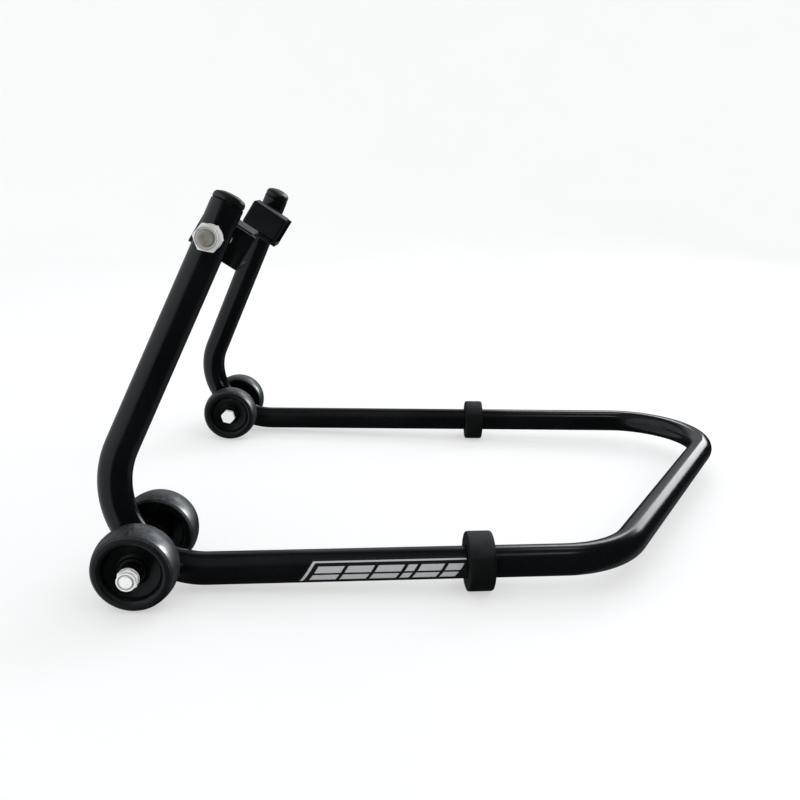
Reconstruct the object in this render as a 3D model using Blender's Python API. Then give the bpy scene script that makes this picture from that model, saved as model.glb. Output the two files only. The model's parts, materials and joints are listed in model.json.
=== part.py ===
"""Motorcycle rear paddock stand.

A single bent tube forms both uprights, both rails and the slanted handle bar. Each lower bend
carries a pair of wheels on a cross axle, each rail wears a rubber foot ring, and each upright
holds a swivelling swingarm rest on a cross bolt. Metres, +Z up, handle towards +X, floor at
Z = 0. "left" is -Y and "right" is +Y.
"""
import math

import bmesh
import bpy
from mathutils import Matrix, Vector

# Frame tube
TUBE_OD = 0.0254
TUBE_WALL = 0.0020
TUBE_SIDES = 28
ROOT_X = -0.3223          # corner where rail and upright centrelines would meet
ROOT_HALF_SPACING = 0.2122
ROOT_HEIGHT = 0.0125
UPRIGHT_RUN = 0.1188      # from that corner to the top of the upright
UPRIGHT_RISE = 0.2819
TOP_HALF_SPACING = 0.1586
RAIL_SLOPE = 0.0289
LEFT_RAIL_LENGTH = 0.4267
RIGHT_RAIL_LENGTH = 0.6750
HANDLE_HALF_SPACING = 0.1941
LOWER_BEND_RADIUS = 0.0676
HANDLE_BEND_RADIUS = 0.0821
LOWER_BEND_STEPS = 12
HANDLE_BEND_STEPS = 10

# End plugs
PLUG_HEAD_RADIUS = 0.0124
PLUG_HEAD_HEIGHT = 0.0080
PLUG_STEM_RADIUS = 0.0104
PLUG_STEM_LENGTH = 0.014

# Wheels and axles
WHEEL_RADIUS = 0.0312
WHEEL_WIDTH = 0.0255
WHEEL_FACE_RADIUS = 0.0276
WHEEL_RECESS_RADIUS = 0.0215
WHEEL_RECESS_DEPTH = 0.0082
WHEEL_BOSS_RADIUS = 0.0102
WHEEL_BOSS_DROP = 0.0045
WHEEL_SIDES = 40
OUTER_WHEEL_Y = 0.2395
INNER_WHEEL_Y = 0.1705
BUSH_RADIUS = 0.0072
BUSH_LENGTH = 0.0267
BUSH_COLLAR = 0.0032         # the outer wheels' bushes run on towards the nut
AXLE_RADIUS = 0.0050
AXLE_HEAD_FLATS = 0.014
AXLE_HEAD_HEIGHT = 0.0064
AXLE_NUT_HEIGHT = 0.0056
AXLE_END = 0.0012            # shank left showing beyond the nut
AXLE_WASHER_RADIUS = 0.0078
AXLE_SPACER_RADIUS = 0.0075
AXLE_SPACER_GAP = 0.0010  # the spacers end flat against a rounded, leaning tube
WASHER_THICKNESS = 0.0014

# Foot rings
RING_RADIUS = 0.0235
RING_WIDTH = 0.0205
RING_EDGE = 0.0016
RING_FLAT_DROP = 0.0012   # how much of the underside is flattened
LEFT_RING_X = 0.3150      # distances from the root corner
RIGHT_RING_X = 0.3585
RING_SIDES = 40

# Swingarm rests
REST_BOLT_ALONG = 0.8915  # share of the upright between root corner and top
REST_BOLT_RADIUS = 0.0060
REST_NUT_FLATS = 0.019
REST_NUT_HEIGHT = 0.0120
REST_HEAD_HEIGHT = 0.0075
REST_SPACER_RADIUS = 0.0110
REST_WASHER_RADIUS = 0.0098
REST_TILT = math.radians(31.0)
PLATE_THICKNESS = 0.0040
PLATE_REAR = -0.0170      # plate and pad run further towards the handle than away from it
PLATE_FRONT = 0.0255
PLATE_BOTTOM = -0.0169
PLATE_TOP = 0.0130
SHELF_DEPTH = 0.0400
PLATE_GAP = 0.0062        # plate to tube at bolt height, so the plate clears the leaning tube
SEAT_GAP = 0.0024         # flat seats touch the leaning tube only at one edge
PAD_FRONT = 0.0225
PAD_TOP = 0.0142
PAD_DEPTH = 0.0396
PAD_EDGE = 0.0022
HEAD_POCKET_RADIUS = 0.0113
HEAD_POCKET_DEPTH = 0.0150

GAP = 0.0003              # clearance between neighbouring pieces
SIDES = {"left": -1.0, "right": 1.0}


def clear_scene():
    for item in list(bpy.data.objects):
        bpy.data.objects.remove(item)


def make_material(name, colour, roughness, metallic):
    material = bpy.data.materials.new(name)
    material.use_nodes = True
    shader = material.node_tree.nodes["Principled BSDF"]
    shader.inputs["Base Color"].default_value = (*colour, 1.0)
    shader.inputs["Roughness"].default_value = roughness
    shader.inputs["Metallic"].default_value = metallic
    return material


def make_materials():
    return {
        "paint": make_material("gloss_black_paint", (0.012, 0.012, 0.014), 0.18, 0.0),
        "plastic": make_material("black_plastic", (0.020, 0.020, 0.022), 0.45, 0.0),
        "wheel": make_material("wheel_rubber", (0.028, 0.028, 0.030), 0.38, 0.0),
        "rubber": make_material("foot_rubber", (0.050, 0.050, 0.052), 0.75, 0.0),
        "zinc": make_material("zinc_steel", (0.720, 0.720, 0.700), 0.28, 1.0),
    }


def add_object(name, mesh_builder, material, smooth_angle=None):
    """Turn a bmesh into a named object with outward faces and one material."""
    bmesh.ops.recalc_face_normals(mesh_builder, faces=mesh_builder.faces)
    mesh = bpy.data.meshes.new(name)
    mesh_builder.to_mesh(mesh)
    mesh_builder.free()
    mesh.materials.append(material)
    item = bpy.data.objects.new(name, mesh)
    bpy.context.scene.collection.objects.link(item)
    if smooth_angle is not None:
        mesh.shade_smooth()
        mesh.set_sharp_from_angle(angle=math.radians(smooth_angle))
    return item


def add_bevel(item, width, segments=2):
    bevel = item.modifiers.new("Bevel", "BEVEL")
    bevel.width = width
    bevel.segments = segments
    bevel.limit_method = "ANGLE"
    bevel.angle_limit = math.radians(40)


def add_cutter(item, cutter):
    """Subtract a hidden cutter object from an item."""
    cutter.hide_render = True
    cutter.display_type = "WIRE"
    cut = item.modifiers.new("Cut", "BOOLEAN")
    cut.operation = "DIFFERENCE"
    cut.solver = "EXACT"
    cut.object = cutter


def turned_mesh(profile, sides, closed):
    """Revolve (radius, height) points about Z; an open profile starts and ends on the axis."""
    builder = bmesh.new()
    points = [builder.verts.new((radius, 0.0, height)) for radius, height in profile]
    edges = [builder.edges.new(pair) for pair in zip(points, points[1:])]
    if closed:
        edges.append(builder.edges.new((points[-1], points[0])))
    bmesh.ops.spin(
        builder,
        geom=points + edges,
        cent=(0.0, 0.0, 0.0),
        axis=(0.0, 0.0, 1.0),
        angle=2.0 * math.pi,
        steps=sides,
        use_merge=True,
    )
    bmesh.ops.remove_doubles(builder, verts=builder.verts, dist=0.000001)
    return builder


def along_axis(direction):
    """Rotation that takes +Z onto the given direction."""
    return Vector(direction).to_track_quat("Z", "Y")


def place(item, position, direction):
    item.location = position
    item.rotation_mode = "QUATERNION"
    item.rotation_quaternion = along_axis(direction)


def hang_under(item, parent):
    """Parent an item while keeping its world placement."""
    bpy.context.view_layer.update()
    item.parent = parent
    item.matrix_parent_inverse = parent.matrix_world.inverted()


# Frame geometry ---------------------------------------------------------------------------

def root_corner(side):
    return Vector((ROOT_X, side * ROOT_HALF_SPACING, ROOT_HEIGHT))


def upright_top(side):
    x = ROOT_X + UPRIGHT_RUN
    return Vector((x, side * TOP_HALF_SPACING, ROOT_HEIGHT + UPRIGHT_RISE))


def handle_corner(side):
    length = RIGHT_RAIL_LENGTH if side > 0.0 else LEFT_RAIL_LENGTH
    y = side * HANDLE_HALF_SPACING
    return Vector((ROOT_X + length, y, ROOT_HEIGHT + RAIL_SLOPE * length))


def upright_direction(side):
    return (upright_top(side) - root_corner(side)).normalized()


def tube_end(side):
    """Centre of the open tube end, just below the plug head."""
    return upright_top(side) - upright_direction(side) * PLUG_HEAD_HEIGHT


def rail_point(side, distance):
    """Point on a rail centreline at a distance along X from the root corner."""
    start = root_corner(side)
    end = handle_corner(side)
    return start.lerp(end, distance / (end.x - start.x))


def bend_arc(before, corner, after, radius, steps):
    """Centreline points of the arc that rounds one corner."""
    back = (before - corner).normalized()
    ahead = (after - corner).normalized()
    turn = math.pi - back.angle(ahead)
    reach = radius * math.tan(turn / 2.0)
    centre = corner + (back + ahead).normalized() * (radius / math.cos(turn / 2.0))
    start = corner + back * reach - centre
    end = corner + ahead * reach - centre
    axis = start.cross(end).normalized()
    return [centre + Matrix.Rotation(turn * i / steps, 3, axis) @ start for i in range(steps + 1)]


def frame_centreline():
    left = SIDES["left"]
    right = SIDES["right"]
    corners = [
        tube_end(left), root_corner(left), handle_corner(left),
        handle_corner(right), root_corner(right), tube_end(right),
    ]
    bends = [
        (LOWER_BEND_RADIUS, LOWER_BEND_STEPS), (HANDLE_BEND_RADIUS, HANDLE_BEND_STEPS),
        (HANDLE_BEND_RADIUS, HANDLE_BEND_STEPS), (LOWER_BEND_RADIUS, LOWER_BEND_STEPS),
    ]
    points = [corners[0]]
    for i, (radius, steps) in enumerate(bends):
        points += bend_arc(corners[i], corners[i + 1], corners[i + 2], radius, steps)
    points.append(corners[-1])
    return points


def axle_point(side):
    """Where the axle crosses the lower bend: the centreline at wheel radius above the floor."""
    points = bend_arc(upright_top(side), root_corner(side), handle_corner(side),
                      LOWER_BEND_RADIUS, 4 * LOWER_BEND_STEPS)
    above = [p for p in points if p.z >= WHEEL_RADIUS]
    below = points[len(above)]
    share = (above[-1].z - WHEEL_RADIUS) / (above[-1].z - below.z)
    return above[-1].lerp(below, share)


def station_frames(points):
    """Tangent and side vectors at each point, carried along without twist."""
    frames = []
    side = Vector((1.0, 0.0, 0.0))
    for i, point in enumerate(points):
        before = points[max(i - 1, 0)]
        after = points[min(i + 1, len(points) - 1)]
        tangent = (after - before).normalized()
        if 0 < i < len(points) - 1:
            tangent = ((point - before).normalized() + (after - point).normalized()).normalized()
        side = (side - tangent * side.dot(tangent)).normalized()
        frames.append((point, side, tangent.cross(side)))
    return frames


def add_ring(builder, frame, radius, sides):
    centre, side, up = frame
    angles = [2.0 * math.pi * i / sides for i in range(sides)]
    return [builder.verts.new(centre + (side * math.cos(a) + up * math.sin(a)) * radius)
            for a in angles]


def join_rings(builder, first, second):
    count = len(first)
    for i in range(count):
        j = (i + 1) % count
        builder.faces.new((first[i], first[j], second[j], second[i]))


def swept_pipe(points, outer, inner, sides):
    """Hollow pipe along a centreline, as one closed body."""
    builder = bmesh.new()
    frames = station_frames(points)
    skin = [add_ring(builder, frame, outer, sides) for frame in frames]
    bore = [add_ring(builder, frame, inner, sides) for frame in frames]
    for rings in (skin, bore):
        for first, second in zip(rings, rings[1:]):
            join_rings(builder, first, second)
    join_rings(builder, skin[0], bore[0])
    join_rings(builder, skin[-1], bore[-1])
    return builder


def drill(item, name, centre, radius, length, material):
    """Cross hole along Y through an item."""
    builder = bmesh.new()
    bmesh.ops.create_cone(builder, cap_ends=True, segments=24, radius1=radius, radius2=radius,
                          depth=length)
    cutter = add_object(name, builder, material)
    place(cutter, centre, (0.0, 1.0, 0.0))
    add_cutter(item, cutter)


def build_frame(materials):
    builder = swept_pipe(frame_centreline(), TUBE_OD / 2.0, TUBE_OD / 2.0 - TUBE_WALL, TUBE_SIDES)
    frame = add_object("frame_tube", builder, materials["paint"], 50)
    for label, side in SIDES.items():
        drill(frame, label + "_axle_hole_cutter", axle_point(side), AXLE_RADIUS + GAP, 0.05,
              materials["paint"])
        drill(frame, label + "_rest_hole_cutter", rest_bolt_point(side), REST_BOLT_RADIUS + GAP,
              0.05, materials["paint"])
    return frame


def build_end_plug(label, side, frame, materials):
    """Domed push-in plug closing the top of an upright."""
    neck = PLUG_STEM_RADIUS
    head = PLUG_HEAD_RADIUS
    high = PLUG_HEAD_HEIGHT
    deep = -PLUG_STEM_LENGTH
    profile = [
        (0.0, deep), (neck - 0.0012, deep), (neck, deep + 0.0015),
        (neck, GAP), (head - 0.0009, GAP), (head, GAP + 0.0009), (head, 0.45 * high),
        (0.93 * head, 0.68 * high), (0.76 * head, 0.86 * high), (0.45 * head, 0.97 * high),
        (0.0, high),
    ]
    plug = add_object(label + "_end_plug", turned_mesh(profile, 28, False),
                      materials["plastic"], 45)
    place(plug, tube_end(side), upright_direction(side))
    hang_under(plug, frame)


# Wheels and axles -------------------------------------------------------------------------

def wheel_profile():
    """Half section of a crowned wheel with a recessed face on both sides, bore in the middle."""
    half = WHEEL_WIDTH / 2.0
    floor = half - WHEEL_RECESS_DEPTH
    boss = half - WHEEL_BOSS_DROP
    bore = BUSH_RADIUS + GAP
    face = WHEEL_FACE_RADIUS
    rim = WHEEL_RADIUS
    upper = [
        (bore, boss), (WHEEL_BOSS_RADIUS - 0.0006, boss), (WHEEL_BOSS_RADIUS, boss - 0.0006),
        (WHEEL_BOSS_RADIUS + 0.0008, floor + 0.0008), (WHEEL_BOSS_RADIUS + 0.0016, floor),
        (WHEEL_RECESS_RADIUS - 0.0014, floor), (WHEEL_RECESS_RADIUS, floor + 0.0014),
        (WHEEL_RECESS_RADIUS + 0.0010, half - 0.0010), (WHEEL_RECESS_RADIUS + 0.0022, half),
        (face - 0.0010, half), (face, half - 0.0006),
        (face + 0.56 * (rim - face), half * 0.82), (face + 0.85 * (rim - face), half * 0.54),
        (face + 0.97 * (rim - face), half * 0.24),
    ]
    lower = [(radius, -height) for radius, height in reversed(upper)]
    return upper + [(rim, 0.0)] + lower


def washer_profile(inner, outer, bottom, top):
    return [(inner, bottom), (outer, bottom), (outer, top), (inner, top)]


def build_wheel(name, y, axle, collar, materials):
    """Wheel with its pressed-in bush, both turning about the axle; a collar lies outward."""
    wheel = add_object(name, turned_mesh(wheel_profile(), WHEEL_SIDES, True),
                       materials["wheel"], 35)
    place(wheel, (axle.x, y, axle.z), (0.0, 1.0, 0.0))
    half = BUSH_LENGTH / 2.0
    low, high = (-half - collar, half) if y < 0.0 else (-half, half + collar)
    ring = washer_profile(AXLE_RADIUS + GAP, BUSH_RADIUS, low, high)
    bush = add_object(name.replace("wheel", "wheel_bush"), turned_mesh(ring, 28, True),
                      materials["plastic"], 45)
    place(bush, (axle.x, y, axle.z), (0.0, 1.0, 0.0))
    hang_under(bush, wheel)
    return wheel


def hexagon_prism(builder, flats, bottom, top, chamfer):
    """Hexagonal prism about Z with its corners eased at the top."""
    corner = flats / math.sqrt(3.0)
    levels = [(corner, bottom), (corner, top - chamfer), (corner - chamfer * 1.2, top)]
    rings = []
    for radius, height in levels:
        rings.append([builder.verts.new((radius * math.cos(math.radians(60 * i)),
                                         radius * math.sin(math.radians(60 * i)), height))
                      for i in range(6)])
    for first, second in zip(rings, rings[1:]):
        join_rings(builder, first, second)
    return rings


def round_ring(builder, radius, height, sides):
    return [builder.verts.new((radius * math.cos(2.0 * math.pi * i / sides),
                               radius * math.sin(2.0 * math.pi * i / sides), height))
            for i in range(sides)]


def bridge(builder, first, second):
    """Skin between two loops with different numbers of vertices."""
    loops = []
    for ring in (first, second):
        for i, vertex in enumerate(ring):
            after = ring[(i + 1) % len(ring)]
            edge = builder.edges.get((vertex, after)) or builder.edges.new((vertex, after))
            loops.append(edge)
    bmesh.ops.bridge_loops(builder, edges=loops)


def hex_bolt_mesh(flats, head, radius, length):
    """Hex head below Z = 0 pointing to -Z, shank up to Z = length."""
    builder = bmesh.new()
    rings = hexagon_prism(builder, flats, 0.0, head, 0.0012)
    for vertex in builder.verts:
        vertex.co.z = -vertex.co.z
    builder.faces.new(rings[-1])
    collar = round_ring(builder, radius, 0.0, 24)
    bridge(builder, rings[0], collar)
    tip = round_ring(builder, radius, length - 0.0010, 24)
    end = round_ring(builder, radius - 0.0010, length, 24)
    join_rings(builder, collar, tip)
    join_rings(builder, tip, end)
    builder.faces.new(end)
    return builder


def hex_nut_mesh(flats, height, bore, collar_height):
    """Locking nut: hexagon with a low round collar on top and a plain bore."""
    builder = bmesh.new()
    rings = hexagon_prism(builder, flats, 0.0, height - collar_height, 0.0012)
    collar = round_ring(builder, flats * 0.42, height - collar_height + 0.0001, 24)
    shoulder = round_ring(builder, flats * 0.42, height - 0.0008, 24)
    lip = round_ring(builder, flats * 0.38, height, 24)
    mouth = round_ring(builder, bore, height, 24)
    base = round_ring(builder, bore, 0.0, 24)
    bridge(builder, rings[-1], collar)
    for first, second in ((collar, shoulder), (shoulder, lip), (lip, mouth), (mouth, base)):
        join_rings(builder, first, second)
    bridge(builder, rings[0], base)
    return builder


def build_ring_piece(name, inner, outer, start, end, axle, side, frame, material):
    """Washer or sleeve about the axle between two distances from the mid plane."""
    profile = washer_profile(inner, outer, start, end)
    piece = add_object(name, turned_mesh(profile, 28, True), material, 45)
    place(piece, (axle.x, 0.0, axle.z), (0.0, side, 0.0))
    hang_under(piece, frame)


def tube_reach(side):
    """Half thickness of the inclined tube measured along Y."""
    lean = (upright_top(side) - root_corner(side)).cross(Vector((0.0, 1.0, 0.0))).length
    return (TUBE_OD / 2.0) * (upright_top(side) - root_corner(side)).length / lean


def build_axle(label, side, frame, materials):
    axle = axle_point(side)
    centre = abs(axle.y)
    half = BUSH_LENGTH / 2.0
    inner_face = INNER_WHEEL_Y - half - GAP
    outer_face = OUTER_WHEEL_Y + half + BUSH_COLLAR + GAP
    tip = outer_face + WASHER_THICKNESS + AXLE_NUT_HEIGHT + AXLE_END
    shank = tip - inner_face
    bolt = add_object(label + "_axle_bolt",
                      hex_bolt_mesh(AXLE_HEAD_FLATS, AXLE_HEAD_HEIGHT, AXLE_RADIUS, shank),
                      materials["zinc"], 30)
    place(bolt, (axle.x, side * inner_face, axle.z), (0.0, side, 0.0))
    hang_under(bolt, frame)
    wall = tube_reach(side)
    spans = {
        "inner_axle_spacer": (INNER_WHEEL_Y + half + GAP, centre - wall - AXLE_SPACER_GAP),
        "outer_axle_spacer": (centre + wall + AXLE_SPACER_GAP, OUTER_WHEEL_Y - half - GAP),
    }
    for piece, (start, end) in spans.items():
        build_ring_piece(label + "_" + piece, AXLE_RADIUS + GAP, AXLE_SPACER_RADIUS, start, end,
                         axle, side, frame, materials["zinc"])
    build_ring_piece(label + "_axle_washer", AXLE_RADIUS + GAP, AXLE_WASHER_RADIUS, outer_face,
                     outer_face + WASHER_THICKNESS, axle, side, frame, materials["zinc"])
    nut = add_object(label + "_axle_nut",
                     hex_nut_mesh(AXLE_HEAD_FLATS, AXLE_NUT_HEIGHT, AXLE_RADIUS + GAP, 0.0020),
                     materials["zinc"], 30)
    place(nut, (axle.x, side * (outer_face + WASHER_THICKNESS + GAP), axle.z), (0.0, side, 0.0))
    hang_under(nut, frame)
    for position, y, collar in (("outer", OUTER_WHEEL_Y, BUSH_COLLAR),
                                ("inner", INNER_WHEEL_Y, 0.0)):
        name = label + "_" + position + "_wheel"
        wheel = build_wheel(name, side * y, axle, collar, materials)
        hang_under(wheel, frame)


# Foot rings -------------------------------------------------------------------------------

def ring_levels():
    """Outer section of a foot ring: (radius, distance from its middle)."""
    half = RING_WIDTH / 2.0
    ease = RING_EDGE
    return [
        (RING_RADIUS - ease, -half), (RING_RADIUS - 0.3 * ease, -half + 0.3 * ease),
        (RING_RADIUS, -half + ease), (RING_RADIUS, half - ease),
        (RING_RADIUS - 0.3 * ease, half - 0.3 * ease), (RING_RADIUS - ease, half),
    ]


def rail_basis(side):
    """Local axes at a rail: Z along the rail, Y as near to vertical as it allows."""
    along = (handle_corner(side) - root_corner(side)).normalized()
    across = Vector((0.0, 0.0, 1.0)).cross(along).normalized()
    up = along.cross(across)
    return Matrix((across, up, along)).transposed().to_4x4()


def build_foot_ring(label, side, distance, frame, materials):
    """Rubber ring on a rail, set on its tube so that its flattened underside meets the floor."""
    tube = rail_point(side, distance)
    lift = RING_RADIUS - RING_FLAT_DROP - tube.z
    half = RING_WIDTH / 2.0
    bore = TUBE_OD / 2.0 + GAP
    builder = bmesh.new()
    loops = [round_ring(builder, radius, height, RING_SIDES) for radius, height in ring_levels()]
    for vertex in builder.verts:
        vertex.co.y += lift
    loops += [round_ring(builder, bore, height, RING_SIDES) for height in (half, -half)]
    for first, second in zip(loops, loops[1:] + loops[:1]):
        join_rings(builder, first, second)
    bmesh.ops.transform(builder, matrix=rail_basis(side), verts=builder.verts)
    for vertex in builder.verts:
        vertex.co.z = max(vertex.co.z, -tube.z)
    ring = add_object(label + "_foot_ring", builder, materials["rubber"], 40)
    ring.location = tube
    hang_under(ring, frame)


# Swingarm rests ---------------------------------------------------------------------------

def rest_bolt_point(side):
    return root_corner(side).lerp(upright_top(side), REST_BOLT_ALONG)


def rest_direction(side):
    """Inward, from the upright towards the middle of the stand."""
    return Vector((0.0, -side, 0.0))


def rest_basis(side, origin):
    """Local axes of a rest: X along the plate, Y up across it, Z inward."""
    along = Vector((math.cos(REST_TILT), 0.0, -math.sin(REST_TILT))) * side
    up = Vector((math.sin(REST_TILT), 0.0, math.cos(REST_TILT)))
    inward = rest_direction(side)
    return Matrix.Translation(origin) @ Matrix((along, up, inward)).transposed().to_4x4()


def box(builder, low, high):
    """Axis-aligned block between two corners."""
    size = Vector(high) - Vector(low)
    middle = (Vector(high) + Vector(low)) / 2.0
    matrix = Matrix.Translation(middle) @ Matrix.Diagonal((*size, 1.0))
    bmesh.ops.create_cube(builder, size=1.0, matrix=matrix)


def prism(builder, outline, low, high):
    """Extrude a (y, z) outline along X."""
    near = [builder.verts.new((low, y, z)) for y, z in outline]
    far = [builder.verts.new((high, y, z)) for y, z in outline]
    builder.faces.new(near)
    builder.faces.new(far)
    join_rings(builder, near, far)


def build_bracket(label, side, origin, frame, materials):
    """Steel angle: a plate with a bolt hole and a shelf along its lower edge."""
    thick = PLATE_THICKNESS
    shelf = PLATE_BOTTOM + thick
    outline = [
        (PLATE_BOTTOM, 0.0), (PLATE_BOTTOM, SHELF_DEPTH), (shelf, SHELF_DEPTH),
        (shelf, thick), (PLATE_TOP, thick), (PLATE_TOP, 0.0),
    ]
    builder = bmesh.new()
    low, high = sorted((side * PLATE_REAR, side * PLATE_FRONT))
    prism(builder, outline, low, high)
    bracket = add_object(label + "_rest_bracket", builder, materials["paint"])
    bracket.matrix_world = rest_basis(side, origin)
    add_bevel(bracket, 0.0006, 2)
    drill(bracket, label + "_bracket_hole_cutter", origin, REST_BOLT_RADIUS + GAP, 0.02,
          materials["paint"])
    hang_under(bracket, frame)
    return bracket


def build_pad(label, side, origin, bracket, materials):
    """Rubber block bonded on the shelf, hollowed behind so that it covers the bolt head."""
    start = PLATE_THICKNESS + GAP
    base = PLATE_BOTTOM + PLATE_THICKNESS + GAP
    builder = bmesh.new()
    low, high = sorted((side * PLATE_REAR, side * PAD_FRONT))
    box(builder, (low, base, start), (high, PAD_TOP, PAD_DEPTH))
    pad = add_object(label + "_rest_pad", builder, materials["rubber"])
    pad.matrix_world = rest_basis(side, origin)
    add_bevel(pad, PAD_EDGE, 3)
    pocket = bmesh.new()
    bmesh.ops.create_cone(pocket, cap_ends=True, segments=24, radius1=HEAD_POCKET_RADIUS,
                          radius2=HEAD_POCKET_RADIUS, depth=2.0 * HEAD_POCKET_DEPTH)
    cutter = add_object(label + "_pad_pocket_cutter", pocket, materials["rubber"])
    cutter.matrix_world = rest_basis(side, origin)
    add_cutter(pad, cutter)
    hang_under(pad, bracket)


def build_rest(label, side, frame, materials):
    crossing = rest_bolt_point(side)
    inward = rest_direction(side)
    wall = tube_reach(side)
    origin = crossing + inward * (wall + PLATE_GAP)
    bracket = build_bracket(label, side, origin, frame, materials)
    build_pad(label, side, origin, bracket, materials)

    spacer_start = wall + SEAT_GAP
    spacer_end = wall + PLATE_GAP - GAP
    spacer = add_object(
        label + "_rest_spacer",
        turned_mesh(washer_profile(REST_BOLT_RADIUS + GAP, REST_SPACER_RADIUS, spacer_start,
                                   spacer_end), 28, True),
        materials["zinc"], 45)
    place(spacer, crossing, inward)
    hang_under(spacer, frame)

    head_face = wall + PLATE_GAP + PLATE_THICKNESS + GAP
    nut_face = wall + SEAT_GAP
    shank = head_face + nut_face + WASHER_THICKNESS + REST_NUT_HEIGHT + 0.0030
    bolt = add_object(label + "_rest_bolt",
                      hex_bolt_mesh(REST_NUT_FLATS, REST_HEAD_HEIGHT, REST_BOLT_RADIUS, shank),
                      materials["zinc"], 30)
    place(bolt, crossing + inward * head_face, -inward)
    hang_under(bolt, frame)

    washer = add_object(
        label + "_rest_washer",
        turned_mesh(washer_profile(REST_BOLT_RADIUS + GAP, REST_WASHER_RADIUS, nut_face,
                                   nut_face + WASHER_THICKNESS), 28, True),
        materials["zinc"], 45)
    place(washer, crossing, -inward)
    hang_under(washer, frame)

    nut = add_object(label + "_rest_nut",
                     hex_nut_mesh(REST_NUT_FLATS, REST_NUT_HEIGHT, REST_BOLT_RADIUS + GAP, 0.0034),
                     materials["zinc"], 30)
    place(nut, crossing - inward * (nut_face + WASHER_THICKNESS + GAP), -inward)
    hang_under(nut, frame)


def main():
    clear_scene()
    materials = make_materials()
    frame = build_frame(materials)
    rings = {"left": LEFT_RING_X, "right": RIGHT_RING_X}
    for label, side in SIDES.items():
        build_end_plug(label, side, frame, materials)
        build_axle(label, side, frame, materials)
        build_foot_ring(label, side, rings[label], frame, materials)
        build_rest(label, side, frame, materials)


main()
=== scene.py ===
"""Looks for the motorcycle paddock stand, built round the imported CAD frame."""
import json
import math

import bmesh
import bpy
from mathutils import Matrix, Vector

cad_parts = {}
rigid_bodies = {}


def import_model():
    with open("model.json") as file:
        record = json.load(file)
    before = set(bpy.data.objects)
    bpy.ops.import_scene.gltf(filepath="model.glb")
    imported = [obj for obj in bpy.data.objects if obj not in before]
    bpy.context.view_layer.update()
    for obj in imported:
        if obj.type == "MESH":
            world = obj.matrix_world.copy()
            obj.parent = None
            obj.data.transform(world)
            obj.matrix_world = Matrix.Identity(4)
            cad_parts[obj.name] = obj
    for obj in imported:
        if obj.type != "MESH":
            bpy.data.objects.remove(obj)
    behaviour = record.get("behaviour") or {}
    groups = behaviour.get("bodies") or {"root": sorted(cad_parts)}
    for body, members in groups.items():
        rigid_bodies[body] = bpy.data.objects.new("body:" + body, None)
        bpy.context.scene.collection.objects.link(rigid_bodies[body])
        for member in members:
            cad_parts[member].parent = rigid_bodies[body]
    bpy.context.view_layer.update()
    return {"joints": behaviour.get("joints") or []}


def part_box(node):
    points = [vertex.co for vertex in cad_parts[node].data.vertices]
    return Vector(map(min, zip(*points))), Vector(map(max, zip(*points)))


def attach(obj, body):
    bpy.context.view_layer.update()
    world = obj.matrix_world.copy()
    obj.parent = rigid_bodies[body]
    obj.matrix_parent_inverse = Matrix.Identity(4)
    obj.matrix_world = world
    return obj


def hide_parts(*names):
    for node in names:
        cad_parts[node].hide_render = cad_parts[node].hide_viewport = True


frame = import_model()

MM = 0.001
SIDES = {"left": -1.0, "right": 1.0}

# What gloss surfaces reflect: direction, edge and full weight, radiance
ROOM_BASE = 0.02
ROOM = [
    ((-0.978, -0.208, 0.0), 0.36, 0.52, 0.55),
    ((-0.60, -0.25, 0.76), 0.55, 0.90, 0.25),
    ((0.67, 0.40, -0.60), 0.84, 0.97, 0.14),
    ((0.12, 0.86, 0.48), 0.82, 0.99, 0.40),
    ((-0.30, 0.88, 0.30), 0.84, 0.99, 0.25),
]
SOFT_LIGHT = 1.08
FLOOR_GLOW = 0.50

# Frame tube, as in the CAD
TUBE_RADIUS = 12.7 * MM
TUBE_BORE = 10.7 * MM
ROOT_X = -0.3223
ROOT_HALF_SPACING = 0.2122
ROOT_HEIGHT = 0.0125
UPRIGHT_RUN = 0.1188
UPRIGHT_RISE = 0.2819
TOP_HALF_SPACING = 0.1586
RAIL_SLOPE = 0.0289
RAIL_LENGTH = {-1.0: 0.4267, 1.0: 0.6750}
HANDLE_HALF_SPACING = 0.1941
LOWER_BEND_RADIUS = 0.0676
HANDLE_BEND_RADIUS = 0.0821
PLUG_HEAD = 8.0 * MM


# Small mesh tools --------------------------------------------------------------------------

def new_object(name, builder, material, body, replaced=(), smooth=35):
    """Finish a bmesh as a piece of the object that rides on a CAD body."""
    bmesh.ops.recalc_face_normals(builder, faces=builder.faces)
    mesh = bpy.data.meshes.new(name)
    builder.to_mesh(mesh)
    builder.free()
    mesh.materials.append(material)
    item = bpy.data.objects.new(name, mesh)
    bpy.context.scene.collection.objects.link(item)
    mesh.shade_smooth()
    mesh.set_sharp_from_angle(angle=math.radians(smooth))
    if body:
        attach(item, body)
    if replaced:
        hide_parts(*replaced)
    return item


def arc_points(before, corner, after, radius, steps):
    """2-D points that round one corner of a profile."""
    back = (Vector(before) - Vector(corner))
    ahead = (Vector(after) - Vector(corner))
    turn = math.pi - back.angle(ahead)
    if radius <= 0.0 or turn < 0.02:
        return [Vector(corner)]
    reach = min(radius * math.tan(turn / 2.0), 0.48 * back.length, 0.48 * ahead.length)
    radius = reach / math.tan(turn / 2.0)
    back.normalize()
    ahead.normalize()
    centre = Vector(corner) + (back + ahead).normalized() * (radius / math.cos(turn / 2.0))
    start = Vector(corner) + back * reach - centre
    sign = 1.0 if start.x * (Vector(corner) + ahead * reach - centre).y \
        - start.y * (Vector(corner) + ahead * reach - centre).x > 0.0 else -1.0
    points = []
    for i in range(steps + 1):
        angle = sign * turn * i / steps
        points.append(centre + Vector((start.x * math.cos(angle) - start.y * math.sin(angle),
                                       start.x * math.sin(angle) + start.y * math.cos(angle))))
    return points


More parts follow.
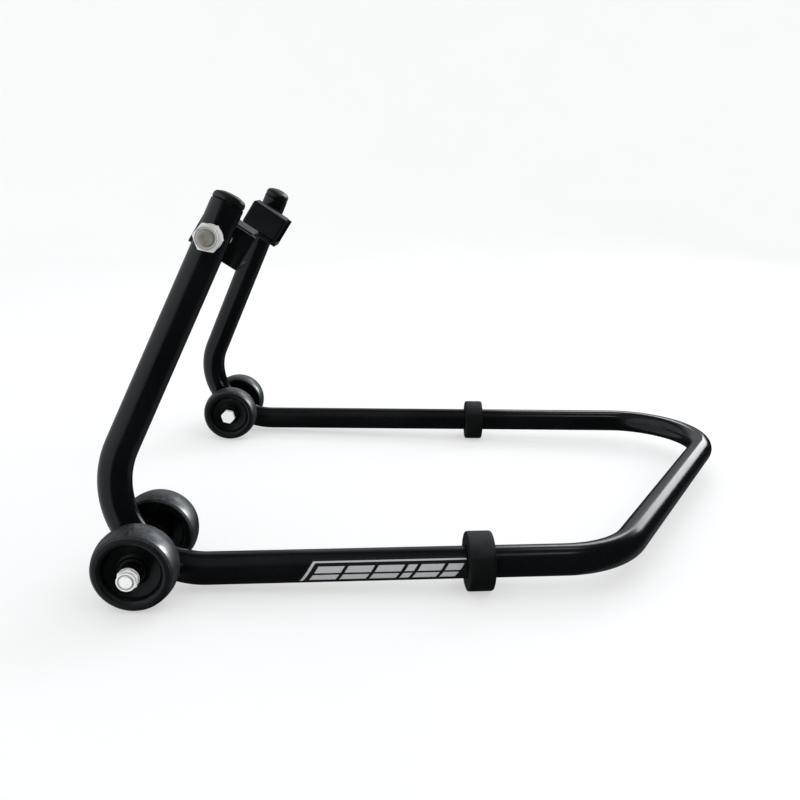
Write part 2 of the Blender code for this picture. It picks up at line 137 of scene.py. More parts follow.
def rounded_profile(corners, closed, steps=5):
    """Turn (x, y, radius) corners into a smooth run of points."""
    points = []
    count = len(corners)
    for i, (x, y, radius) in enumerate(corners):
        if not closed and i in (0, count - 1):
            points.append(Vector((x, y)))
            continue
        before = corners[(i - 1) % count][:2]
        after = corners[(i + 1) % count][:2]
        points += arc_points(before, (x, y), after, radius, steps)
    return points


def loft(builder, rings, closed_rings=True, cap_start=False, cap_end=False):
    """Quads between successive rings of the same size."""
    for first, second in zip(rings, rings[1:]):
        count = len(first)
        for i in range(count if closed_rings else count - 1):
            j = (i + 1) % count
            builder.faces.new((first[i], first[j], second[j], second[i]))
    if cap_start:
        builder.faces.new(rings[0])
    if cap_end:
        builder.faces.new(rings[-1])


def lathe(profile, sides, closed):
    """Revolve (radius, height) points about Z; open profiles start and end on the axis."""
    builder = bmesh.new()
    rings = []
    for radius, height in profile:
        if radius < 1e-7:
            rings.append([builder.verts.new((0.0, 0.0, height))])
            continue
        rings.append([builder.verts.new((radius * math.cos(2 * math.pi * i / sides),
                                         radius * math.sin(2 * math.pi * i / sides), height))
                      for i in range(sides)])
    pairs = list(zip(rings, rings[1:]))
    if closed:
        pairs.append((rings[-1], rings[0]))
    for first, second in pairs:
        if len(first) == 1 and len(second) == 1:
            continue
        for i in range(sides):
            j = (i + 1) % sides
            if len(first) == 1:
                builder.faces.new((first[0], second[j], second[i]))
            elif len(second) == 1:
                builder.faces.new((first[i], first[j], second[0]))
            else:
                builder.faces.new((first[i], first[j], second[j], second[i]))
    return builder


def set_on_axis(builder, position, direction, turn=0.0):
    """Move a bmesh built about Z onto a world point and direction."""
    rotation = Vector(direction).to_track_quat("Z", "Y").to_matrix().to_4x4()
    matrix = Matrix.Translation(position) @ rotation @ Matrix.Rotation(turn, 4, "Z")
    bmesh.ops.transform(builder, matrix=matrix, verts=builder.verts)


def cut_away(item, cutters):
    """Apply exact differences and drop the cutters."""
    for cutter in cutters:
        cut = item.modifiers.new("Cut", "BOOLEAN")
        cut.operation = "DIFFERENCE"
        cut.solver = "EXACT"
        cut.object = cutter
    bpy.context.view_layer.update()
    graph = bpy.context.evaluated_depsgraph_get()
    mesh = bpy.data.meshes.new_from_object(item.evaluated_get(graph))
    item.modifiers.clear()
    item.data = mesh
    for cutter in cutters:
        bpy.data.objects.remove(cutter)


def rod_cutter(radius, length, position, direction, sides=48):
    builder = lathe([(0.0, -length / 2), (radius, -length / 2), (radius, length / 2),
                     (0.0, length / 2)], sides, False)
    set_on_axis(builder, position, direction)
    bmesh.ops.recalc_face_normals(builder, faces=builder.faces)
    mesh = bpy.data.meshes.new("cutter")
    builder.to_mesh(mesh)
    builder.free()
    item = bpy.data.objects.new("cutter", mesh)
    bpy.context.scene.collection.objects.link(item)
    return item


# Materials ---------------------------------------------------------------------------------

class Nodes:
    """Short-hand for wiring a material's node tree."""

    def __init__(self, name):
        self.material = bpy.data.materials.new(name)
        self.material.use_nodes = True
        self.tree = self.material.node_tree
        self.shader = self.tree.nodes["Principled BSDF"]
        self.coordinates = self.add("ShaderNodeTexCoord").outputs["Object"]

    def add(self, kind, **values):
        node = self.tree.nodes.new(kind)
        for name, value in values.items():
            setattr(node, name, value)
        return node

    def link(self, source, target):
        self.tree.links.new(source, target)

    def noise(self, scale, detail=4.0, roughness=0.55, stretch=None, distortion=0.0):
        """Noise factor in object metres; scale is features per metre."""
        node = self.add("ShaderNodeTexNoise")
        node.inputs["Scale"].default_value = scale
        node.inputs["Detail"].default_value = detail
        node.inputs["Roughness"].default_value = roughness
        node.inputs["Distortion"].default_value = distortion
        source = self.coordinates
        if stretch:
            mapping = self.add("ShaderNodeMapping")
            mapping.inputs["Scale"].default_value = stretch
            self.link(source, mapping.inputs["Vector"])
            source = mapping.outputs["Vector"]
        self.link(source, node.inputs["Vector"])
        return node.outputs["Fac"]

    def ramp(self, source, low, high, start=0.0, end=1.0):
        """Remap a factor from (low, high) to (start, end), clamped."""
        node = self.add("ShaderNodeMapRange")
        node.inputs["From Min"].default_value = low
        node.inputs["From Max"].default_value = high
        node.inputs["To Min"].default_value = start
        node.inputs["To Max"].default_value = end
        self.link(source, node.inputs["Value"])
        return node.outputs["Result"]

    def math(self, operation, first, second):
        node = self.add("ShaderNodeMath", operation=operation)
        for socket, value in zip(node.inputs, (first, second)):
            if isinstance(value, (int, float)):
                socket.default_value = value
            else:
                self.link(value, socket)
        return node.outputs["Value"]

    def mix(self, factor, first, second):
        """Mix two colours, each a socket or a tuple."""
        node = self.add("ShaderNodeMix", data_type="RGBA")
        sockets = (node.inputs["Factor"], node.inputs[6], node.inputs[7])
        for socket, value in zip(sockets, (factor, first, second)):
            if isinstance(value, (int, float)):
                socket.default_value = value
            elif isinstance(value, tuple):
                socket.default_value = (*value, 1.0)
            else:
                self.link(value, socket)
        return node.outputs[2]

    def edge(self, radius, low=0.02, high=0.25):
        """1 on sharp edges, 0 on flats, from the angle to a rounded normal."""
        bevel = self.add("ShaderNodeBevel", samples=4)
        bevel.inputs["Radius"].default_value = radius
        geometry = self.add("ShaderNodeNewGeometry")
        dot = self.add("ShaderNodeVectorMath", operation="DOT_PRODUCT")
        self.link(bevel.outputs["Normal"], dot.inputs[0])
        self.link(geometry.outputs["Normal"], dot.inputs[1])
        return self.ramp(self.math("SUBTRACT", 1.0, dot.outputs["Value"]), low, high)

    def upward(self, low, high):
        """1 where a face looks up."""
        geometry = self.add("ShaderNodeNewGeometry")
        split = self.add("ShaderNodeSeparateXYZ")
        self.link(geometry.outputs["Normal"], split.inputs["Vector"])
        return self.ramp(split.outputs["Z"], low, high)

    def hollow(self, distance, low, high):
        """0 deep in a hollow, 1 in the open."""
        node = self.add("ShaderNodeAmbientOcclusion", samples=6)
        node.inputs["Distance"].default_value = distance
        return self.ramp(node.outputs["AO"], low, high)

    def bump(self, height, strength, distance, under=None):
        node = self.add("ShaderNodeBump")
        node.inputs["Strength"].default_value = strength
        node.inputs["Distance"].default_value = distance
        self.link(height, node.inputs["Height"])
        if under is not None:
            self.link(under, node.inputs["Normal"])
        return node.outputs["Normal"]

    def finish(self, colour, roughness, normal=None, **values):
        for name, value in (("Base Color", colour), ("Roughness", roughness), ("Normal", normal)):
            if value is not None:
                self.link(value, self.shader.inputs[name])
        for name, value in values.items():
            self.shader.inputs[name.replace("_", " ")].default_value = value
        return self.material


def paint_material(name, edge_width, cover, edge_tone):
    """Gloss black paint: orange peel, faint hairline scratches, dust, lighter edges that are partly
    rubbed wear and partly painted highlight.
    """
    n = Nodes(name)
    dust = n.math("MULTIPLY", n.ramp(n.noise(900.0, 2.0), 0.62, 0.80), 0.35)
    scratch = n.math("MULTIPLY", n.ramp(n.noise(60.0, 6.0, 0.7, (2.0, 2.0, 40.0), 0.4), 0.66, 0.72),
                     0.30)
    cloud = n.noise(14.0, 5.0)
    base = n.mix(n.ramp(cloud, 0.3, 0.7), (0.0018, 0.0021, 0.0024), (0.0034, 0.0042, 0.0046))
    base = n.mix(dust, base, (0.022, 0.022, 0.021))
    base = n.mix(scratch, base, (0.020, 0.020, 0.021))
    # lighter edges: rubbed wear in noise patches, and painted highlight where a low cover lets it run
    # along nearly every edge
    edge_wear_and_highlight = n.math("MULTIPLY", n.edge(edge_width),
                  n.ramp(n.noise(160.0, 4.0), cover, cover + 0.17))
    base = n.mix(edge_wear_and_highlight, base, (edge_tone, edge_tone, edge_tone))
    roughness = n.math("ADD", n.ramp(cloud, 0.3, 0.7, 0.15, 0.23), n.math("MULTIPLY", dust, 0.3))
    roughness = n.math("ADD", roughness, n.math("MULTIPLY", scratch, 0.3))
    peel = n.bump(n.noise(420.0, 2.0, 0.4), 0.10, 0.00025)
    normal = n.bump(n.ramp(n.noise(60.0, 6.0, 0.7, (2.0, 2.0, 40.0), 0.4), 0.66, 0.72), 0.08,
                    0.00005, peel)
    return n.finish(base, roughness, normal, Specular_IOR_Level=0.42)


def wheel_material():
    """Moulded semi-gloss rubber: mottling, scuffed tread, dust on upward faces, painted shade in the
    recess.
    """
    n = Nodes("wheel_rubber")
    cloud = n.noise(70.0, 5.0, 0.6)
    scuff = n.math("MULTIPLY", n.edge(0.0030, 0.004, 0.06), n.ramp(n.noise(380.0, 5.0), 0.45, 0.65))
    base = n.mix(n.ramp(cloud, 0.35, 0.7), (0.0016, 0.0021, 0.0024), (0.0036, 0.0046, 0.0050))
    base = n.mix(n.math("MULTIPLY", scuff, 0.30), base, (0.026, 0.027, 0.028))
    dust = n.math("MULTIPLY", n.upward(0.30, 0.95), n.ramp(n.noise(420.0, 6.0, 0.7), 0.36, 0.64))
    base = n.mix(n.math("MULTIPLY", dust, 0.45), base, (0.050, 0.052, 0.055))
    speck = n.ramp(n.noise(1500.0, 2.0), 0.66, 0.78)
    base = n.mix(n.math("MULTIPLY", speck, 0.20), base, (0.040, 0.039, 0.037))
    # painted shade: the recess is darkened to near black and its reflections are dimmed
    recess_shade_fac = n.hollow(0.030, 0.35, 0.85)
    base = n.mix(recess_shade_fac, (0.0008, 0.0010, 0.0011), base)
    n.link(n.ramp(recess_shade_fac, 0.0, 1.0, 0.04, 0.45), n.shader.inputs["Specular IOR Level"])
    roughness = n.ramp(cloud, 0.3, 0.7, 0.28, 0.40)
    grain = n.bump(n.noise(1300.0, 3.0), 0.12, 0.00012)
    normal = n.bump(n.noise(160.0, 3.0), 0.10, 0.0004, grain)
    return n.finish(base, roughness, normal)


def rubber_material():
    """Matte moulded rubber, much lighter on its upper faces."""
    n = Nodes("foot_rubber")
    cloud = n.noise(55.0, 5.0, 0.6)
    # upward faces are made much lighter than the rest
    upper_face_lift = n.math("MULTIPLY", n.upward(0.45, 0.98), n.ramp(cloud, 0.30, 0.62, 0.45, 1.0))
    base = n.mix(n.ramp(cloud, 0.35, 0.7), (0.0014, 0.0016, 0.0020), (0.0030, 0.0033, 0.0038))
    base = n.mix(n.math("MULTIPLY", upper_face_lift, 0.50), base, (0.066, 0.066, 0.070))
    speck = n.ramp(n.noise(1100.0, 2.0), 0.64, 0.78)
    base = n.mix(n.math("MULTIPLY", speck, 0.18), base, (0.060, 0.060, 0.058))
    roughness = n.ramp(cloud, 0.3, 0.7, 0.62, 0.82)
    grain = n.bump(n.noise(1000.0, 4.0), 0.30, 0.00018)
    normal = n.bump(n.noise(140.0, 3.0), 0.15, 0.0005, grain)
    return n.finish(base, roughness, normal, Specular_IOR_Level=0.30)


def pad_material():
    """Darker, slightly oily rubber of the swingarm pads."""
    n = Nodes("pad_rubber")
    cloud = n.noise(65.0, 5.0, 0.6)
    base = n.mix(n.ramp(cloud, 0.35, 0.7), (0.0012, 0.0018, 0.0027), (0.0026, 0.0036, 0.0050))
    rub = n.math("MULTIPLY", n.edge(0.0016, 0.01, 0.15), n.ramp(n.noise(260.0, 4.0), 0.42, 0.62))
    base = n.mix(n.math("MULTIPLY", rub, 0.4), base, (0.040, 0.042, 0.045))
    roughness = n.ramp(cloud, 0.3, 0.7, 0.40, 0.58)
    grain = n.bump(n.noise(1100.0, 4.0), 0.25, 0.00015)
    normal = n.bump(n.noise(150.0, 3.0), 0.15, 0.0005, grain)
    return n.finish(base, roughness, normal, Specular_IOR_Level=0.38)


def plastic_material():
    """Injection-moulded black plastic with fine spark-eroded grain."""
    n = Nodes("black_plastic")
    cloud = n.noise(120.0, 4.0)
    base = n.mix(n.ramp(cloud, 0.35, 0.7), (0.0028, 0.0030, 0.0033), (0.0060, 0.0062, 0.0066))
    edge = n.math("MULTIPLY", n.edge(0.0006), 0.30)
    base = n.mix(edge, base, (0.050, 0.048, 0.046))
    roughness = n.ramp(cloud, 0.3, 0.7, 0.30, 0.42)
    normal = n.bump(n.noise(1900.0, 2.0), 0.20, 0.00010)
    return n.finish(base, roughness, normal)


def zinc_material(name, pale, warm, dull, metallic, shine):
    """Zinc plate: cloudy passivation, fine tool marks, painted shade darkening the hollows."""
    n = Nodes(name)
    cloud = n.noise(160.0, 5.0, 0.6)
    base = n.mix(n.ramp(n.noise(90.0, 3.0), 0.38, 0.66), pale, warm)
    base = n.mix(n.math("MULTIPLY", n.ramp(cloud, 0.50, 0.72), 0.6), base, dull)
    base = n.mix(n.math("MULTIPLY", n.edge(0.0005), 0.6), base, (0.93, 0.93, 0.92))
    # painted shade: hollows are darkened towards near black
    base = n.mix(n.hollow(0.0040, 0.30, 0.80), (0.060, 0.056, 0.050), base)
    roughness = n.math("ADD", n.ramp(cloud, 0.3, 0.7, shine, shine + 0.18),
                       n.ramp(n.noise(2200.0, 2.0), 0.4, 0.7, 0.0, 0.08))
    marks = n.bump(n.noise(2600.0, 3.0, 0.6, (1.0, 0.15, 1.0)), 0.10, 0.00005)
    return n.finish(base, roughness, marks, Metallic=metallic)


def nylon_material():
    n = Nodes("nylon_insert")
    cloud = n.noise(500.0, 3.0)
    base = n.mix(n.ramp(cloud, 0.3, 0.7), (0.42, 0.42, 0.40), (0.55, 0.54, 0.50))
    return n.finish(base, n.ramp(cloud, 0.3, 0.7, 0.40, 0.55),
                    n.bump(n.noise(1500.0, 2.0), 0.1, 0.0001), Subsurface_Weight=0.1)


def vinyl_material(name, dark, light, metallic, low, high):
    """Printed vinyl: fine metal flake, faint edge lift and rub marks."""
    n = Nodes(name)
    flake = n.noise(5200.0, 2.0)
    cloud = n.noise(45.0, 5.0)
    base = n.mix(n.ramp(flake, 0.35, 0.7), dark, light)
    rub = n.ramp(n.noise(300.0, 6.0, 0.7, (1.0, 1.0, 14.0)), 0.64, 0.74)
    base = n.mix(n.math("MULTIPLY", rub, 0.35), base, (0.12, 0.12, 0.12))
    roughness = n.ramp(cloud, 0.3, 0.7, low, high)
    normal = n.bump(flake, 0.05, 0.00004)
    return n.finish(base, roughness, normal, Metallic=metallic)


PAINT = paint_material("gloss_black_paint", 0.0007, 0.45, 0.10)
# bracket paint: its low cover lightens nearly every edge, a painted highlight along the plate's edges
EDGE_LIT_PAINT = paint_material("edge_lit_paint", 0.0009, 0.26, 0.15)
WHEEL = wheel_material()
RUBBER = rubber_material()
PAD = pad_material()
PLASTIC = plastic_material()
ZINC = zinc_material("zinc_steel", (0.84, 0.86, 0.90), (0.90, 0.88, 0.82), (0.62, 0.61, 0.58),
                     0.30, 0.20)
# a lighter copy of the zinc for the axle bolts and nuts: painted light, so they look brightly lit
LIT_ZINC_COPY = zinc_material("zinc_lit_copy", (0.97, 0.98, 1.0), (0.97, 0.96, 0.93),
                            (0.86, 0.86, 0.85), 0.08, 0.24)
STEEL = zinc_material("dull_steel", (0.34, 0.32, 0.28), (0.42, 0.39, 0.32), (0.16, 0.15, 0.12),
                      0.60, 0.34)
NYLON = nylon_material()
SILVER = vinyl_material("silver_vinyl", (0.52, 0.53, 0.55), (0.74, 0.75, 0.77), 0.35, 0.28, 0.40)
LABEL = vinyl_material("black_vinyl", (0.006, 0.006, 0.007), (0.012, 0.012, 0.013), 0.0, 0.16, 0.26)


# Frame tube --------------------------------------------------------------------------------

def root_corner(side):
    return Vector((ROOT_X, side * ROOT_HALF_SPACING, ROOT_HEIGHT))


def upright_top(side):
    return Vector((ROOT_X + UPRIGHT_RUN, side * TOP_HALF_SPACING, ROOT_HEIGHT + UPRIGHT_RISE))


def handle_corner(side):
    length = RAIL_LENGTH[side]
    return Vector((ROOT_X + length, side * HANDLE_HALF_SPACING, ROOT_HEIGHT + RAIL_SLOPE * length))


def upright_direction(side):
    return (upright_top(side) - root_corner(side)).normalized()


def tube_end(side):
    return upright_top(side) - upright_direction(side) * PLUG_HEAD


def bend_arc(before, corner, after, radius, steps):
    back = (before - corner).normalized()
    ahead = (after - corner).normalized()
    turn = math.pi - back.angle(ahead)
    reach = radius * math.tan(turn / 2.0)
    centre = corner + (back + ahead).normalized() * (radius / math.cos(turn / 2.0))
    start = corner + back * reach - centre
    axis = start.cross(corner + ahead * reach - centre).normalized()
    return [centre + Matrix.Rotation(turn * i / steps, 3, axis) @ start for i in range(steps + 1)]


def centreline(bend_steps):
    corners = [tube_end(-1.0), root_corner(-1.0), handle_corner(-1.0),
               handle_corner(1.0), root_corner(1.0), tube_end(1.0)]
    radii = [LOWER_BEND_RADIUS, HANDLE_BEND_RADIUS, HANDLE_BEND_RADIUS, LOWER_BEND_RADIUS]
    points = [corners[0]]
    for i, radius in enumerate(radii):
        arc = bend_arc(corners[i], corners[i + 1], corners[i + 2], radius, bend_steps)
        straight = [points[-1].lerp(arc[0], k / 6.0) for k in range(1, 6)]
        points += straight + arc
    points += [points[-1].lerp(corners[-1], k / 6.0) for k in range(1, 7)]
    return points


def carried_frames(points):
    """Point, side and up vectors carried along a path without twist."""
    frames = []
    side = Vector((1.0, 0.0, 0.0))
    last = len(points) - 1
    for i, point in enumerate(points):
        ahead = (points[min(i + 1, last)] - point) if i < last else point - points[i - 1]
        behind = (point - points[i - 1]) if i > 0 else ahead
        tangent = (ahead.normalized() + behind.normalized()).normalized()
        side = (side - tangent * side.dot(tangent)).normalized()
        frames.append((point, side, tangent.cross(side), tangent))
    return frames


def pipe_ring(builder, station, radius, sides, shift=0.0):
    point, side, up, tangent = station
    return [builder.verts.new(point + tangent * shift
                              + (side * math.cos(2 * math.pi * i / sides)
                                 + up * math.sin(2 * math.pi * i / sides)) * radius)
            for i in range(sides)]


def build_tube():
    """Bent pipe with eased ends, open bore and drilled cross holes."""
    sides = 72
    stations = carried_frames(centreline(40))
    builder = bmesh.new()
    ease = 0.5 * MM
    skin = [pipe_ring(builder, stations[0], TUBE_RADIUS - ease, sides),
            pipe_ring(builder, stations[0], TUBE_RADIUS - 0.3 * ease, sides, 0.3 * ease),
            pipe_ring(builder, stations[0], TUBE_RADIUS, sides, ease)]
    skin += [pipe_ring(builder, station, TUBE_RADIUS, sides) for station in stations[1:-1]]
    skin += [pipe_ring(builder, stations[-1], TUBE_RADIUS, sides, -ease),
             pipe_ring(builder, stations[-1], TUBE_RADIUS - 0.3 * ease, sides, -0.3 * ease),
             pipe_ring(builder, stations[-1], TUBE_RADIUS - ease, sides)]
    bore = [pipe_ring(builder, station, TUBE_BORE, sides) for station in reversed(stations)]
    loft(builder, skin + bore + [skin[0]])
    tube = new_object("frame_tube_skin", builder, PAINT, None)
    cutters = []
    for joint in frame["joints"]:
        position = Vector(joint["pos_m"])
        if "rest" in joint["name"]:
            side = 1.0 if position.y > 0 else -1.0
            cutters.append(rod_cutter(6.3 * MM, 0.05,
                                      (position.x, side * 0.1644, position.z), (0, 1, 0)))
        elif "outer" in joint["name"]:
            cutters.append(rod_cutter(5.3 * MM, 0.05,
                                      (position.x, position.y * 0.865, position.z), (0, 1, 0)))
    cut_away(tube, cutters)
    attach(tube, "frame")
    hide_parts("frame_tube")


def build_plug(label, side):
    """Domed plug with a rolled rim and a shallow groove under its head."""
    head = 12.5 * MM
    stem = 10.3 * MM
    profile = rounded_profile([
        (0.0, -13.5 * MM, 0), (stem - 1.0 * MM, -13.5 * MM, 0.8 * MM),
        (stem, -11.5 * MM, 0.6 * MM), (stem, 0.15 * MM, 0.1 * MM),
        (head - 1.0 * MM, 0.15 * MM, 0.2 * MM), (head - 0.5 * MM, 0.6 * MM, 0.2 * MM),
        (head, 1.1 * MM, 0.4 * MM), (head, 3.7 * MM, 1.4 * MM),
        (head * 0.90, 5.9 * MM, 2.6 * MM), (head * 0.55, 7.55 * MM, 4.0 * MM),
        (0.0, 7.95 * MM, 0)], False, 6)
    builder = lathe(profile, 72, False)
    set_on_axis(builder, tube_end(side), upright_direction(side))
    new_object(label + "_domed_plug", builder, PLASTIC, "frame", [label + "_end_plug"],
               50)


# Fasteners ---------------------------------------------------------------------------------

def hex_rings(builder, flats, bottom, top, per_side=10, both=False):
    """Rings of a hexagonal prism whose corners are cut by a shallow cone."""
    apothem = flats / 2.0
    inner = apothem * 0.955
    slope = math.tan(math.radians(28))
    count = 6 * per_side
    angles = [2.0 * math.pi * i / count for i in range(count)]

    def reach(angle):
        return apothem / math.cos((angle % (math.pi / 3)) - math.pi / 6)

    def ring(height, cone):
        verts = []
        for angle in angles:
            radius = reach(angle)
            drop = max(0.0, radius - inner) * slope * cone
            verts.append(builder.verts.new((radius * math.cos(angle), radius * math.sin(angle),
                                            height - drop)))
        return verts

    def circle(radius, height):
        return [builder.verts.new((radius * math.cos(a), radius * math.sin(a), height))
                for a in angles]

    rings = []
    if both:
        rings.append(circle(inner, bottom))
        rings.append(ring(bottom, -1.0))
    else:
        rings.append(ring(bottom, 0.0))
    rings.append(ring(top, 1.0))
    rings.append(circle(inner, top))
    return rings


def lathe_rings(builder, profile, count):
    return [[builder.verts.new((radius * math.cos(2 * math.pi * i / count),
                                radius * math.sin(2 * math.pi * i / count), height))
             for i in range(count)] for radius, height in profile]


def nut_mesh(flats, height, bore, collar):
    """Locking nut: chamfered hexagon, rolled collar, countersunk bore."""
    builder = bmesh.new()
    body = height - collar
    rings = hex_rings(builder, flats, 0.0, body, both=True)
    wall = flats * 0.425
    top = rounded_profile([
        (flats * 0.46, body + 0.02 * MM, 0), (wall + 0.2 * MM, body + 0.05 * MM, 0.2 * MM),
        (wall, body + 0.5 * MM, 0.3 * MM), (wall, height, 0.9 * MM),
        (bore + 1.9 * MM, height, 0.25 * MM), (bore + 1.7 * MM, height - 0.9 * MM, 0.2 * MM),
        (bore + 0.1 * MM, height - 1.0 * MM, 0.1 * MM), (bore, 0.8 * MM, 0.2 * MM),
        (bore + 0.7 * MM, 0.0, 0)], False, 4)
    rings += lathe_rings(builder, top, len(rings[0]))
    loft(builder, rings + [rings[0]])
    return builder


def insert_mesh(bore, height):
    """Nylon ring that fills the mouth of a locking nut."""
    profile = rounded_profile([
        (bore + 0.05 * MM, height - 0.95 * MM, 0), (bore + 1.6 * MM, height - 0.95 * MM, 0.1 * MM),
        (bore + 1.6 * MM, height - 0.25 * MM, 0.2 * MM), (bore + 0.05 * MM, height - 0.35 * MM, 0.2 * MM),
    ], True, 3)
    return lathe(profile, 48, True)


def threaded_rings(builder, radius, start, end, pitch, count):
    """Rings along a shank whose last part carries a helical thread and a chamfered tip."""
    depth = 0.55 * pitch
    steps = int((end - start) / (pitch / 8.0))
    rings = []
    for j in range(steps + 1):
        z = start + (end - start) * j / steps
        fade = min(1.0, (z - start) / (1.5 * pitch))
        tip = max(0.0, (z - (end - 1.2 * MM)) / (1.2 * MM))
        ring = []
        for i in range(count):
            phase = (z / pitch - i / count) % 1.0
            wave = abs(2.0 * phase - 1.0)
            cut = depth * fade * max(0.0, 1.15 * wave - 0.15)
            r = min(radius - cut, radius - tip * 1.1 * MM)
            angle = 2.0 * math.pi * i / count
            ring.append(builder.verts.new((r * math.cos(angle), r * math.sin(angle), z)))
        rings.append(ring)
    return rings


def bolt_mesh(flats, head, radius, length, thread, pitch):
    """Hex bolt: chamfered head below Z = 0, plain shank, threaded end."""
    builder = bmesh.new()
    rings = hex_rings(builder, flats, 0.0, head)
    for vertex in builder.verts:
        vertex.co.z = -vertex.co.z
    count = len(rings[0])
    face = lathe_rings(builder, [(flats * 0.36, -head), (flats * 0.33, -head + 0.25 * MM),
                                 (flats * 0.05, -head + 0.25 * MM)], count)
    start = length - thread
    shank = lathe_rings(builder, [(radius + 0.35 * MM, 0.0), (radius, 0.3 * MM),
                                  (radius, start * 0.5), (radius, start - 0.01 * MM)], count)
    threaded = threaded_rings(builder, radius - 0.05 * MM, start, length, pitch, count)
    rings = list(reversed(face)) + list(reversed(rings)) + shank + threaded
    loft(builder, rings, cap_start=True, cap_end=True)
    return builder


def washer_mesh(inner, outer, bottom, top):
    ease = min(0.25 * MM, (top - bottom) * 0.3)
    profile = rounded_profile([(inner, bottom, ease * 0.5), (outer, bottom, ease * 0.5),
                               (outer, top, ease), (inner, top, ease)], True, 3)
    return lathe(profile, 64, True)


def node_span(node):
    """Lowest and highest |Y| of a node, and its centre in X and Z."""
    low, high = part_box(node)
    near, far = sorted((abs(low.y), abs(high.y)))
    return near, far, (low.x + high.x) / 2.0, (low.z + high.z) / 2.0


def ring_piece(node, name, inner, outer, material):
    near, far, x, z = node_span(node)
    side = 1.0 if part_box(node)[0].y > 0 else -1.0
    builder = washer_mesh(inner, outer, near, far)
    set_on_axis(builder, (x, 0.0, z), (0.0, side, 0.0))
    new_object(name, builder, material, "frame", [node], 40)


def build_axle_hardware(label, side):
    near, far, x, z = node_span(label + "_axle_bolt")
    head = 6.4 * MM
    bolt = bolt_mesh(14 * MM, head, 5.0 * MM, far - near - head, 16 * MM, 1.5 * MM)
    set_on_axis(bolt, (x, side * (near + head), z), (0, side, 0), math.radians(12))
    new_object(label + "_axle_hex_bolt", bolt, LIT_ZINC_COPY, "frame", [label + "_axle_bolt"],
               28)
    near, far, x, z = node_span(label + "_axle_nut")
    nut = nut_mesh(14 * MM, far - near, 5.12 * MM, 2.4 * MM)
    set_on_axis(nut, (x, side * near, z), (0, side, 0), math.radians(24))
    new_object(label + "_axle_lock_nut", nut, LIT_ZINC_COPY, "frame", [label + "_axle_nut"],
               28)
    insert = insert_mesh(5.12 * MM, far - near)
    set_on_axis(insert, (x, side * near, z), (0, side, 0))
    new_object(label + "_axle_nut_insert", insert, NYLON, "frame", (), 40)
    ring_piece(label + "_axle_washer", label + "_axle_flat_washer", 5.3 * MM, 7.8 * MM, ZINC)
    for place in ("inner", "outer"):
        node = f"{label}_{place}_axle_spacer"
        ring_piece(node, f"{label}_{place}_axle_sleeve", 5.3 * MM, 7.5 * MM, PAINT)


# Wheels ------------------------------------------------------------------------------------

def wheel_corners(half, bore):
    """Half section of the wheel: low boss, coned web, recess wall, face and shoulder."""
    floor = half - 8.2 * MM
    boss = half - 4.5 * MM
    return [
        (bore, boss, 0.3 * MM), (9.7 * MM, boss, 0.8 * MM), (10.5 * MM, floor + 0.9 * MM, 0.6 * MM),
        (12.2 * MM, floor, 0.8 * MM), (20.2 * MM, floor + 2.6 * MM, 1.2 * MM),
        (21.6 * MM, half - 1.7 * MM, 1.2 * MM), (22.9 * MM, half - 0.3 * MM, 0.8 * MM),
        (24.6 * MM, half, 0.8 * MM), (27.5 * MM, half - 0.1 * MM, 0.6 * MM),
        (29.4 * MM, half - 2.0 * MM, 1.2 * MM),
    ]


def wheel_section(radius, half, bore):
    """Closed section: two faces joined by a crowned tread with a fine parting line."""
    corners = [(bore, 0.0, 0)] + wheel_corners(half, bore) + [(29.6 * MM, half - 3.2 * MM, 0)]
    face = rounded_profile(corners, False, 5)[1:-1]
    crown = []
    shoulder = 29.5 * MM
    edge = half - 2.7 * MM
    steps = 24
    for i in range(steps + 1):
        height = edge * math.cos(math.pi * i / steps)
        drop = abs(height) / edge
        r = shoulder + (radius - shoulder) * (1.0 - drop ** 2.2)
        if abs(height) >= 0.35 * MM:
            r -= 0.12 * MM
        crown.append(Vector((r, height)))
    lower = [Vector((p.x, -p.y)) for p in reversed(face)]
    return face + crown + lower


def build_wheel(label, place):
    body = f"{label}_{place}_wheel"
    low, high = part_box(body)
    centre = (low + high) / 2.0
    radius = (high.z - low.z) / 2.0
    half = (high.y - low.y) / 2.0
    builder = lathe(wheel_section(radius, half, 7.5 * MM), 112, True)
    set_on_axis(builder, centre, (0, 1, 0), math.radians(17 if place == "outer" else 61))
    new_object(body + "_tread", builder, WHEEL, body, [body], 42)
    node = f"{label}_{place}_wheel_bush"
    low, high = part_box(node)
    profile = rounded_profile([
        (5.3 * MM, low.y, 0.3 * MM), (7.2 * MM, low.y, 0.3 * MM),
        (7.2 * MM, high.y, 0.3 * MM), (5.3 * MM, high.y, 0.3 * MM)], True, 3)
    bush = lathe(profile, 64, True)
    axle = Vector(((low.x + high.x) / 2, 0.0, (low.z + high.z) / 2))
    set_on_axis(bush, axle, (0, 1, 0))
    new_object(node + "_sleeve", bush, PLASTIC, body, [node], 40)


# Foot rings --------------------------------------------------------------------------------

def rail_basis(side):
    along = (handle_corner(side) - root_corner(side)).normalized()
    across = Vector((0.0, 0.0, 1.0)).cross(along).normalized()
    return Matrix((across, along.cross(across), along)).transposed().to_4x4()


